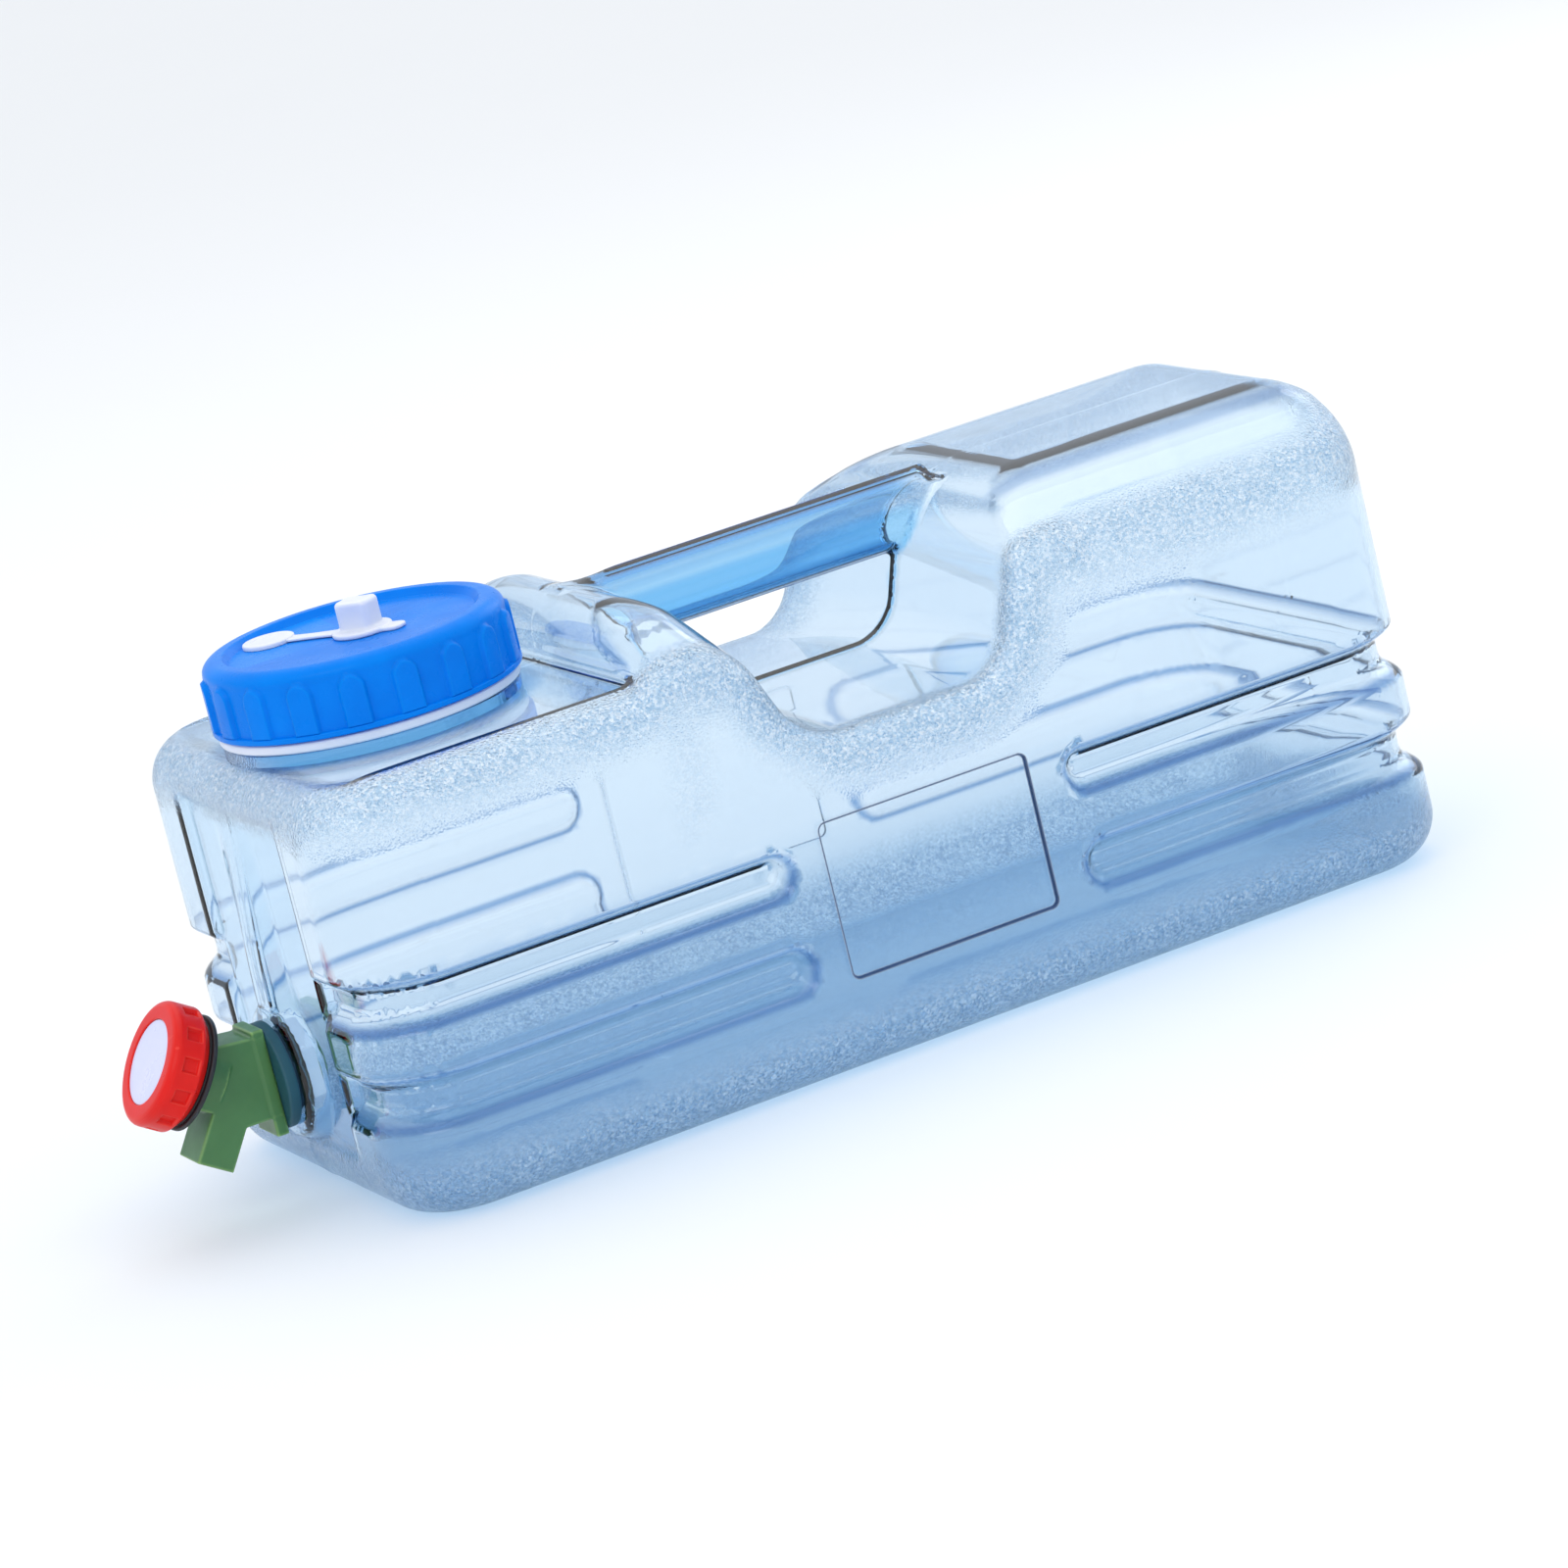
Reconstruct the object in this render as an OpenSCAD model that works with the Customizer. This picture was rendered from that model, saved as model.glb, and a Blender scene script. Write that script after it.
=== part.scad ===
// Large carry-flat water jug with a wide screw lid and a low tap.
// Millimetres. X runs along the length with the tap end at -X, Z is up,
// and the origin is the centre of the resting face under the body.

/* [Body] */
// Length of the blow-moulded body
body_l = 456; // [440:1:480]
// Width of the body
body_w = 210; // [200:1:220]
// Height of the rear block and handle
body_h = 193; // [190:1:198]
// Height of the front deck that carries the neck
deck_h = 169; // [166:1:170]
// Thickness of the moulded wall
wall = 2.4; // [1.8:0.1:3]
// Corner radius of the body seen from above
corner_r = 35; // [30:1:40]
// Depth of the grip grooves around the sides
groove_d = 6.5; // [4:0.5:8]

/* [Handle] */
// Outer radius of the hollow handle bar
handle_r = 13.9; // [12:0.1:14.5]
// Height of the handle's centre line
handle_z = 179; // [177:0.5:180]

/* [Lid] */
// Outer radius of the lid
lid_r = 60; // [58:0.5:62]
// Distance of the neck's axis from the body's centre
lid_dist = 160.3; // [158:0.1:162]
// Axial travel of the thread in one full turn
thread_lead = 12; // [10:0.5:14]

/* [Tap] */
// Height of the tap's mounting hole
tap_z = 49.5; // [46:0.5:54]
// Angle of the tap's barrel above level, in degrees
tap_tilt = 33; // [28:1:38]
// Radius of the tap's knob
knob_r = 24.2; // [20:0.1:25]

/* [Hidden] */
$fn = 64;
hx = body_l / 2;
hy = body_w / 2;
lx = -lid_dist;
e = 0.01;
nose_d = 4.5;
seat_x = -hx - nose_d;

// ---------- shared 2D outlines ----------
// Rounded rectangle from true arcs: x from a to b, y from c to d, radius r below, q above.
module rr(a, b, c, d, r, q) {
    m = max(r, q);
    translate([a, c + r]) square([b - a, d - c - r - q]);
    translate([a + r, c]) square([b - a - 2 * r, r + 1]);
    translate([a + q, d - q - 1]) square([b - a - 2 * q, q + 1]);
    for (x = [a + r, b - r]) translate([x, c + r]) circle(r = r);
    for (x = [a + q, b - q]) translate([x, d - q]) circle(r = q);
}
function arc(cx, cz, r, a0, a1, n) = [for (i = [0:n]) [cx + r * cos(a0 + (a1 - a0) * i / n), cz + r * sin(a0 + (a1 - a0) * i / n)]];
// Draws a YZ outline and runs it along X from x0 to x1.
module along_x(x0, x1) translate([x0, 0, 0]) rotate([90, 0, 90]) linear_extrude(x1 - x0) children();
// Draws an XZ outline and runs it along Y over the whole width plus a margin.
module across_y(h = 130) translate([0, h, 0]) rotate([90, 0, 0]) linear_extrude(2 * h) children();

// ---------- jug body, built twice: outer skin (o = 0) and cavity (o = wall) ----------
module plan(o) rr(-hx + o, hx - o, -hy + o, hy - o, corner_r - o, corner_r - o);

// Grip groove: band centre height z, over a straight side, round one corner, onto the end.
// g grows the groove by the wall so that the cavity keeps its thickness.
module groove_2d(z, g) polygon([[-3, z - 11 - g], [0, z - 11 - g], [groove_d + g, z - 6 - g * 0.6], [groove_d + g, z + 6 + g * 0.6], [0, z + 11 + g], [-3, z + 11 + g]]);
module groove_side(z, x0, x1, g) {
    // near and far sides; the groove's round cap is at the end nearer the label
    cap = (x0 > 0) ? x0 : x1;
    for (s = [-1, 1]) {
        mirror([0, s > 0 ? 1 : 0, 0]) {
            translate([0, -hy, 0]) along_x(x0, x1) groove_2d(z, g);
            translate([cap, -hy, z]) rotate([-90, 0, 0]) cylinder(r1 = 11 + g, r2 = 6 + g * 0.6, h = groove_d + g);
            translate([cap, -hy - 3, z]) rotate([-90, 0, 0]) cylinder(r = 11 + g, h = 3);
            // corner
            cx = hx - corner_r;
            cs = (x0 > 0) ? 1 : -1;
            translate([cs * cx, -hy + corner_r, 0]) rotate([0, 0, cs > 0 ? -90 : 180])
                rotate_extrude(angle = 90, $fn = 96) polygon([[corner_r + 3, z - 11 - g], [corner_r, z - 11 - g], [corner_r - groove_d - g, z - 6 - g * 0.6],
                    [corner_r - groove_d - g, z + 6 + g * 0.6], [corner_r, z + 11 + g], [corner_r + 3, z + 11 + g]]);
        }
    }
}
module groove_end(z, sx, y0, y1, g) mirror([sx > 0 ? 1 : 0, 0, 0]) translate([-hx, 0, 0])
    translate([0, y1, 0]) rotate([90, 0, 0]) linear_extrude(y1 - y0) groove_2d(z, g);
module grooves(g) {
    for (z = [83.5, 46.5]) {
        groove_side(z, -hx + corner_r, -60, g);
        groove_side(z, 75, hx - corner_r, g);
        groove_end(z, 1, -hy + corner_r, hy - corner_r, g);
        for (s = [-1, 1]) groove_end(z, -1, s > 0 ? 50 - g : -hy + corner_r, s > 0 ? hy - corner_r : -50 + g, g);
    }
}
// Lower body up to the deck
module low_form(o) intersection() {
    translate([0, 0, o]) linear_extrude(deck_h - 2 * o) plan(o);
    along_x(-hx - 1, hx + 1) rr(-hy + o, hy - o, o, deck_h - o, 20 - o, 22 - o);
    across_y() rr(-hx + o, hx - o, o, deck_h - o, 20 - o, 16 - o);
}
// Upper form: tower and rear block share sloped shoulders
module high_form(o) intersection() {
    translate([0, 0, 101]) linear_extrude(100) plan(o);
    along_x(-100, hx + 1) polygon([[hy - o, 90], [hy - o, 166 - o * 0.5], [103.6 - o, 172.6 - o * 0.6], [98.5 - o * 0.8, 178.6 - o * 0.8], [63.5 - o * 0.3, 192.2 - o], [60 - o * 0.2, body_h - o],
        [-60 + o * 0.2, body_h - o], [-63.5 + o * 0.3, 192.2 - o], [-98.5 + o * 0.8, 178.6 - o * 0.8], [-103.6 + o, 172.6 - o * 0.6], [-hy + o, 166 - o * 0.5], [-hy + o, 90]]);
    across_y() polygon(concat([[hx - o, 90]], arc(hx - 22, body_h - 22, 22 - o, 0, 90, 8), arc(-76, 179, 14 - o, 90, 180, 6), [[-90 + o, 90]]));
}
// The scooped saddle between tower and rear block, with its crowned floor
module saddle(o) intersection() {
    across_y() polygon([[-60 - o, 230], [-60 - o, 190], [-54 - o, 180], [-48 - o, 169], [-42 - o, 152], [-36 - o, 137], [-31 - o * 0.9, 129], [-24 - o * 0.6, 121 - o],
        [42 + o * 0.6, 121 - o], [49 + o * 0.9, 129], [54 + o, 138], [60 + o, 148], [65 + o, 160], [68.5 + o, 179], [73 + o, 184], [84 + o, 192], [86 + o, 230]]);
    along_x(-100, 100) polygon([[-130, 126.4 - o], [0, 133.5 - o], [130, 126.4 - o], [130, 260], [-130, 260]]);
}
module handle_bar(r) along_x(-66, 74) translate([0, handle_z]) circle(r = r);
// Recessed front panel, and the rib and round seat that stand out of it for the tap
module front_panel(o) translate([-hx - 3, -50 - o, 22 - o]) cube([6 + o, 100 + 2 * o, 130 + 2 * o]);
module nose(o) intersection() {
    union() {
        translate([-hx - nose_d + o, 0, tap_z]) rotate([0, 90, 0]) cylinder(r = 26 - o, h = 16);
        across_y(9 - o) polygon([[-hx - nose_d + o, 24 + o], [-hx - nose_d + o, 75], [-hx + 3 + o, 146 - o], [-hx + 12, 146 - o], [-hx + 12, 24 + o]]);
    }
    translate([-hx - nose_d + o, -60, 0]) cube([20, 120, 200]);
}
module label_recess(o) for (s = [-1, 1]) translate([0, s * hy, 0]) rotate([90, 0, 0]) linear_extrude(2 * (1.6 + o), center = true) rr(-38.5 - o, 50.2 + o, 37.3 - o, 98.6 + o, 3, 3);
module form(o) {
    difference() {
        union() {
            difference() {
                union() { low_form(o); high_form(o); }
                saddle(o);
            }
            handle_bar(handle_r - o);
        }
        grooves(o);
        front_panel(o);
        label_recess(o);
    }
    nose(o);
}
// Axial ridges of a multi-start screw thread, as swept trapezoids.
// r0 is the root radius, r1 the crest radius, w0 and w1 the half-widths there.
module thread(r0, r1, w0, w1, z0, turns, starts, ph = 0) {
    n = 40; N = round(n * turns);
    for (s = [0:starts - 1]) {
        pts = [for (i = [0:N]) let (a = ph + 360 * s / starts + i * 360 / n, z = z0 + thread_lead * i / n, f = max(0.3, min(1, i / 4, (N - i) / 4)), q = r0 + (r1 - r0) * f)
            each [[r0 * cos(a), r0 * sin(a), z - w0], [q * cos(a), q * sin(a), z - w1], [q * cos(a), q * sin(a), z + w1], [r0 * cos(a), r0 * sin(a), z + w0]]];
        polyhedron(pts, concat([[0, 1, 2], [0, 2, 3]], [for (i = [0:N - 1], k = [0:3]) each [[4 * i + k, 4 * i + 4 + k, 4 * i + 4 + (k + 1) % 4], [4 * i + k, 4 * i + 4 + (k + 1) % 4, 4 * i + (k + 1) % 4]]], [[4 * N + 2, 4 * N + 1, 4 * N], [4 * N + 3, 4 * N + 2, 4 * N]]));
    }
}
neck_r = 54;
neck_top = 195.6;
module jug_body() color([0.66, 0.83, 0.94, 0.5]) {
    difference() {
        union() {
            difference() {
                form(0);
                form(wall);
            }
            // neck with its lower bead
            translate([lx, 0, deck_h - 3]) cylinder(r = neck_r, h = neck_top - deck_h + 3, $fn = 128);
            translate([lx, 0, deck_h - wall]) cylinder(r = 57.6, h = wall + 3.2, $fn = 128);
            // two-start thread on the neck
            translate([lx, 0, 0]) thread(neck_r - 0.4, neck_r + 1.7, 1.5, 0.7, 180.2, 0.9, 2);
        }
        translate([lx, 0, deck_h - 12]) cylinder(r = neck_r - 2.6, h = 60, $fn = 128);
        translate([-hx - 10, 0, tap_z]) rotate([0, 90, 0]) cylinder(r = 10.4, h = 20);
    }
}
// White sealing ring round the foot of the neck
module neck_ring() color("white") translate([lx, 0, deck_h + 3.3]) difference() {
    cylinder(r = 58.4, h = 3.8, $fn = 128);
    translate([0, 0, -1]) cylinder(r = neck_r + 0.1, h = 6, $fn = 128);
}
// Soft washer between the lid's underside and the neck's rim
module lid_gasket() color("whitesmoke") translate([lx, 0, neck_top + 0.05]) difference() {
    cylinder(r = 56.4, h = 2.7, $fn = 128);
    translate([0, 0, -1]) cylinder(r = 49.5, h = 5, $fn = 128);
}
lid_z0 = 176.8;
lid_in = neck_top + 2.85;
lid_top = lid_in + 5.5;
pan_top = lid_in + 2.7;
vp = [lx + 3.1, -3.9];
va = [lx - 23.1, 28.9];
v_ang = atan2(va[1] - vp[1], va[0] - vp[0]);
v_len = norm(va - vp);
module lid() color([0.01, 0.42, 0.93]) difference() {
    union() {
        translate([lx, 0, 0]) rotate_extrude($fn = 128) polygon(concat([[0, lid_in], [lid_r - 2.6, lid_in], [lid_r - 2.6, lid_z0], [lid_r, lid_z0], [lid_r, lid_z0 + 2], [lid_r - 1.1, lid_z0 + 2.6]],
            arc(lid_r - 7.1, lid_top - 6, 6, 0, 90, 6), [[lid_r - 9.5, lid_top], [lid_r - 12.4, pan_top], [0, pan_top]]));
        // eighteen raised grip pads with arched tops
        translate([lx, 0, 0]) intersection() {
            translate([0, 0, lid_z0]) difference() { cylinder(r = lid_r, h = 26, $fn = 128); translate([0, 0, -1]) cylinder(r = lid_r - 1.6, h = 30, $fn = 128); }
            for (i = [0:17]) rotate([0, 0, 20 * i + 6]) along_x(lid_r - 8, lid_r + 4) {
                translate([-5, lid_z0 + 0.5]) square([10, 16]);
                translate([0, lid_z0 + 16.5]) circle(r = 5);
            }
        }
        // two-start thread inside the skirt
        translate([lx, 0, 0]) thread(lid_r - 2.2, lid_r - 5.3, 1.5, 0.7, 183.2, 0.75, 2);
    }
    translate([vp[0], vp[1], 190]) cylinder(r = 5, h = 20);
    translate([va[0], va[1], 190]) cylinder(r = 3, h = 20);
}
// Soft air-vent plug: stem, flange, pull tab and the square knob on top
module vent_plug() color("white") {
    translate([vp[0], vp[1], pan_top - 8.2]) cylinder(r = 4.95, h = 9);
    translate([vp[0], vp[1], pan_top + 0.1]) cylinder(r = 11.6, h = 2);
    translate([vp[0], vp[1], pan_top + 0.1]) rotate([0, 0, v_ang]) {
        translate([-18, -4.5, 0]) cube([14, 9, 1.6]);
        translate([-7.3, -6, 1]) linear_extrude(12.2) rr(0, 14.6, 0, 12, 3, 3);
    }
}
// Flat strap that keeps the plug on the lid
module vent_strap() color("white") translate([vp[0], vp[1], pan_top + 0.3]) rotate([0, 0, v_ang]) translate([11.9, -3.4, 0]) cube([v_len - 11.9 - 10.3, 6.8, 1.2]);
// Disc with a stud that fixes the strap's far end in the lid
module vent_anchor() color("white") translate([va[0], va[1], 0]) {
    translate([0, 0, pan_top + 0.05]) cylinder(r = 10.2, h = 1.9);
    translate([0, 0, pan_top - 3.6]) cylinder(r = 2.95, h = 4);
}

// ---------- tap ----------
tt = tap_tilt;
ja = [-hx - 24, 0, 51.8];
av = [-cos(tt), sin(tt)];
sv = [-sin(tt), -cos(tt)];
function tp(u, v) = [ja[0] + av[0] * u + sv[0] * v, ja[2] + av[1] * u + sv[1] * v];
// Local frame of the barrel: z runs out along the knob's axis, -x along the spout
module at_barrel() translate(ja) rotate([0, tt - 90, 0]) children();
gk = 5;
fl = 5;
bore_r = 8.05;
barrel_end = 16;
module tap_body() color([0.27, 0.47, 0.29]) difference() {
    union() {
        translate([0, 10.5, 0]) rotate([90, 0, 0]) linear_extrude(21) polygon([[seat_x - gk - 1, 36], tp(-7.5, 13.9), tp(-7.5, 31.5), tp(7.5, 31.5), tp(7.5, 12), tp(15, 12), tp(15, -12), [seat_x - gk - 1, 68]]);
        translate([seat_x - gk - fl, -10.5, tap_z - 21]) cube([fl, 21, 42]);
        at_barrel() translate([0, 0, 6]) cylinder(r = 12.6, h = barrel_end - 6);
        translate([seat_x - gk - 1, 0, tap_z]) rotate([0, 90, 0]) cylinder(r = 10, h = 24);
    }
    at_barrel() translate([0, 0, -8.2]) cylinder(r = bore_r, h = 40);
    at_barrel() rotate([0, -90, 0]) cylinder(r = 4.6, h = 50);
    at_barrel() rotate([0, -90, 0]) translate([0, 0, 12]) cylinder(r = 5.4, h = 40);
    translate([ja[0] + 4, 0, tap_z]) rotate([0, 90, 0]) cylinder(r = 5.4, h = 60);
}
module ring_x(x0, t, ro, ri) translate([x0, 0, tap_z]) rotate([0, 90, 0]) difference() {
    cylinder(r = ro, h = t);
    translate([0, 0, -1]) cylinder(r = ri, h = t + 2);
}
// Thick soft washer outside the wall
module tap_gasket() color([0.1, 0.36, 0.4]) ring_x(seat_x - gk + 0.02, gk - 0.04, 21, 10.05);
// Thin washer inside the wall
module tap_washer() color([0.15, 0.15, 0.16]) ring_x(seat_x + wall + 0.02, 2.6, 16, 10.05);
// Hexagonal lock nut inside
module tap_lock_nut() color("white") translate([seat_x + wall + 2.66, 0, tap_z]) rotate([0, 90, 0]) difference() {
    cylinder(r = 18.5, h = 8.5, $fn = 6);
    translate([0, 0, -1]) cylinder(r = 10.03, h = 12);
}
// Turning plug: hollow, with one side port, a shaft and a flat-sided drive
module tap_stem() color("whitesmoke") at_barrel() difference() {
    union() {
        translate([0, 0, -7.6]) cylinder(r = 8, h = barrel_end + 7.5);
        cylinder(r = 5, h = 20.2);
        translate([0, 0, 20]) intersection() { cylinder(r = 5, h = 9.4); translate([-3.6, -6, 0]) cube([7.2, 12, 12]); }
    }
    translate([0, 0, -10]) cylinder(r = 5.2, h = 15.4);
    rotate([-90, 0, 0]) cylinder(r = 5, h = 12);
    for (z = [8.6, 12.6]) translate([0, 0, z]) difference() { cylinder(r = 9, h = 2); translate([0, 0, -1]) cylinder(r = 6.6, h = 4); }
    translate([0, 0, 15]) cylinder(r = 1.45, h = 30);
}
// Two sealing rings in the plug's grooves
module tap_orings() color([0.1, 0.1, 0.1]) at_barrel() for (z = [8.6, 12.6]) translate([0, 0, z + 1]) rotate_extrude() translate([7.1, 0]) circle(r = 0.9);
// Black retaining ring behind the knob
module tap_bonnet_ring() color([0.08, 0.08, 0.09]) at_barrel() translate([0, 0, barrel_end + 0.05]) difference() {
    union() { cylinder(r = 22.4, h = 1.9); cylinder(r = 20.5, h = 2.6); }
    translate([0, 0, -1]) cylinder(r = 5.06, h = 6);
}
knob_z0 = barrel_end + 3;
knob_h = 15.5;
module tap_knob() color([0.94, 0.2, 0.16]) at_barrel() translate([0, 0, knob_z0]) difference() {
    rotate_extrude($fn = 96) polygon(concat([[0, 0], [knob_r - 3.4, 0], [knob_r, 3.2]], arc(knob_r - 3.2, knob_h - 3.2, 3.2, 0, 90, 5), [[16.6, knob_h], [16.6, knob_h - 1.6], [0, knob_h - 1.6]]));
    // hollow back round the hub
    difference() { translate([0, 0, -1]) cylinder(r = knob_r - 6, h = knob_h - 4.5); translate([0, 0, -2]) cylinder(r = 8.5, h = knob_h); }
    // twelve square dents in the rim
    for (i = [0:11]) rotate([0, 0, 30 * i + 10]) translate([knob_r - 1.2, -2.8, 4.4]) cube([4, 5.6, 6]);
    // drive socket and screw hole
    translate([0, 0, -1]) cylinder(r = 5.1, h = 2.4);
    translate([0, 0, -1]) intersection() { cylinder(r = 5.02, h = 11.6); translate([-3.62, -6, 0]) cube([7.24, 12, 12]); }
    cylinder(r = 1.9, h = 40);
    translate([0, 0, knob_h - 3.4]) cylinder(r = 3.9, h = 6);
}
// Self-tapping screw that holds the knob on the plug
module tap_knob_screw() color("silver") at_barrel() {
    translate([0, 0, knob_z0 + knob_h - 3.35]) cylinder(r = 3.6, h = 1.6);
    translate([0, 0, knob_z0 + 3]) cylinder(r = 1.42, h = knob_h - 6);
}
// Plain pale disc in the knob's face
module tap_badge() color([0.84, 0.86, 0.95]) at_barrel() translate([0, 0, knob_z0 + knob_h - 1.55]) cylinder(r = 16.5, h = 1);

jug_body();
neck_ring();
lid_gasket();
lid();
vent_plug();
vent_strap();
vent_anchor();
tap_body();
tap_gasket();
tap_washer();
tap_lock_nut();
tap_stem();
tap_orings();
tap_bonnet_ring();
tap_knob();
tap_knob_screw();
tap_badge();
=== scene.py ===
import math
import time

import bmesh
import bpy
import numpy as np
from mathutils import Matrix, Vector


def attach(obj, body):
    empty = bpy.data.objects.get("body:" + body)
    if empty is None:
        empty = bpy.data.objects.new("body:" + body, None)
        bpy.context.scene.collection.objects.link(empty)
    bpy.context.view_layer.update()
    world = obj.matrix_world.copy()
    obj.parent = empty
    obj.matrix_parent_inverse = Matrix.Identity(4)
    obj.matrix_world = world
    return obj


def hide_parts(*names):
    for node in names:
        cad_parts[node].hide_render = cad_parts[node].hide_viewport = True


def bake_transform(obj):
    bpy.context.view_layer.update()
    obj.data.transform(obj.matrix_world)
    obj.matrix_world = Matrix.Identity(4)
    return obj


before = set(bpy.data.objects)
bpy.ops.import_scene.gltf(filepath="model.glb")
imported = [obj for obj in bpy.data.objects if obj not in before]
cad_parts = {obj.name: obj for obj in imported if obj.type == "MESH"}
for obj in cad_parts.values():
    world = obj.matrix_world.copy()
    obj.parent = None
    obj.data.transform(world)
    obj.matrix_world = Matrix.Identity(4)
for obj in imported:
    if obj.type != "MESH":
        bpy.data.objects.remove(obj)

T0 = time.time()


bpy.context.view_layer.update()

# ------------------------------------------------------------------ shared sizes, in millimetres
HX, HY = 228.0, 105.0
DECK = 169.0
LX = -160.3
NECK_R, NECK_TOP = 54.0, 195.6
BAR_Z, BAR_R = 179.0, 13.9
TAP_Z, SEAT_X = 49.5, -232.5
WALL = 2.4
TILT = math.radians(33.0)
J = np.array([-252.0, 0.0, 51.8])
A_OUT = np.array([-math.cos(TILT), 0.0, math.sin(TILT)])
S_OUT = np.array([-math.sin(TILT), 0.0, -math.cos(TILT)])

# ------------------------------------------------------------------ distance fields
f4 = np.float32


def rmax(a, b, r):
    """Intersection of two solids with a round convex edge of radius r."""
    return np.minimum(-r, np.maximum(a, b)) + np.sqrt(np.maximum(r + a, 0) ** 2 + np.maximum(r + b, 0) ** 2)


def rmin(a, b, r):
    """Union of two solids with a round inside corner of radius r."""
    return -rmax(-a, -b, r)


def sstep(a, b, x):
    t = np.clip((x - a) / (b - a), 0, 1)
    return t * t * (3 - 2 * t)


def plan_d(x, y):
    qx, qy = np.abs(x) - (HX - 35), np.abs(y) - (HY - 35)
    return np.sqrt(np.maximum(qx, 0) ** 2 + np.maximum(qy, 0) ** 2) + np.minimum(np.maximum(qx, qy), 0) - 35


def tops(x, y, z):
    """Everything that bounds the body from above: deck, tower, saddle floor and rear block."""
    ay = np.abs(y)
    shoulder = (ay - 62) * 0.4389 + (z - 193) * 0.8986
    crown = rmax(z - 193, shoulder, 9.0)
    # tower
    front = (-90.0 - x) * 0.995 + (z - 178) * 0.09
    rear = (x + 38) * 0.917 + (z - 141) * 0.40
    tower = rmax(rmax(crown, front, 13.0), rear, 15.0)
    # rear block
    lean = (57 - x) * 0.948 + (z - 145) * 0.316
    chamfer = (68.5 - x) * 0.532 + (z - 179) * 0.847
    block = rmax(crown, rmax(lean, chamfer, 9.0), 7.0)
    floor = z - (133.5 - 0.055 * ay)
    deck = np.maximum(z - DECK, x + 70)
    top = rmin(np.minimum(floor, deck), tower, 5.0)
    top = rmin(top, block, 5.0)
    both = rmin(rmin(floor, tower, 15.0), block, 14.0)
    w = sstep(-66, -58, x)
    return top * (1 - w) + both * w


def stadium(x, z, x_end, side, zt, zm, zb, depth):
    """Depth of one grip groove; it ends in a round cap at x_end and runs on towards side."""
    w = np.where(z > zm, (z - zm) / (zt - zm), (zm - z) / (zm - zb))
    u = np.maximum(0, (x_end + side * 11 - x) * side / 11)
    r = np.sqrt(w * w + u * u)
    return depth * sstep(0, 0.72, 1 - r)


def side_relief(x, y, z):
    """How deep the grooves, panel and rib lie below the body's plain outline."""
    ay = np.abs(y)
    h = 0
    for zt, zm, zb in ((95.0, 86.0, 72.5), (58.5, 47.5, 34.5)):
        h = h + stadium(x, z, -49.5, -1, zt, zm, zb, 7.6) * (x < 0) * (1 - (1 - sstep(47, 54, ay)) * (x < -195))
        h = h + stadium(x, z, 63.5, 1, zt, zm, zb, 7.6) * (x > 0)
    end = (x < -190)
    panel = sstep(54.0, 47.5, ay) * sstep(17.5, 24, z) * sstep(155.5, 149, z)
    rise = np.clip((148 - z) / 72, 0, 1)
    rib = 6.0 * rise * sstep(20, 6, ay) * sstep(22, 26, z) + 1.6 * (1 - ay / 50) * sstep(60, 100, z)
    rd = np.sqrt(y * y + (z - TAP_Z) ** 2)
    rib = np.maximum(rib, 7.5 * sstep(31.5, 23.5, rd))
    return h + end * panel * (3.0 - rib)


def body_d(x, y, z):
    side = plan_d(x, y) + side_relief(x, y, z)
    t = tops(x, y, z)
    w = sstep(-98, -84, x) * sstep(100, 82, x)
    r = 19.0 - 9.0 * w
    d = rmax(side, t, r)
    d = rmax(d, -z, 19.0)
    bar = np.maximum(np.sqrt(y * y + (z - BAR_Z) ** 2) - BAR_R, np.maximum(-76 - x, x - 84))
    d = rmin(d, bar, 3.5)
    # the deck lies a little below the shoulders that frame it
    pocket = np.maximum(np.maximum(np.abs(y) - 86.5, np.abs(x + 154) - 63.0), DECK - 1.3 - z)
    return rmax(d, -pocket, 1.0)


def outer_d(x, y, z):
    d = body_d(x, y, z)
    # raised parting line round the middle of the mould, stronger round the hand gap
    gap = sstep(-62, -50, x) * sstep(92, 80, x) * sstep(120, 127, z)
    return d - (0.35 * sstep(1.0, 6.0, z) + 0.75 * gap) * np.maximum(0, 1 - np.abs(y) / (1.6 + 0.9 * gap)) ** 1.3


def cavity_d(x, y, z):
    d = body_d(x, y, z) + WALL
    # the wall keeps its thickness behind the label recess
    lab = rmax(np.abs(x - 5.85) - 46.5, np.abs(z - 67.95) - 33.0, 4.0)
    return rmax(d, np.minimum(np.abs(y) - (HY - WALL - 1.6), 40.0) - 60.0 * sstep(-1.5, 2.5, lab), 1.2)


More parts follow.
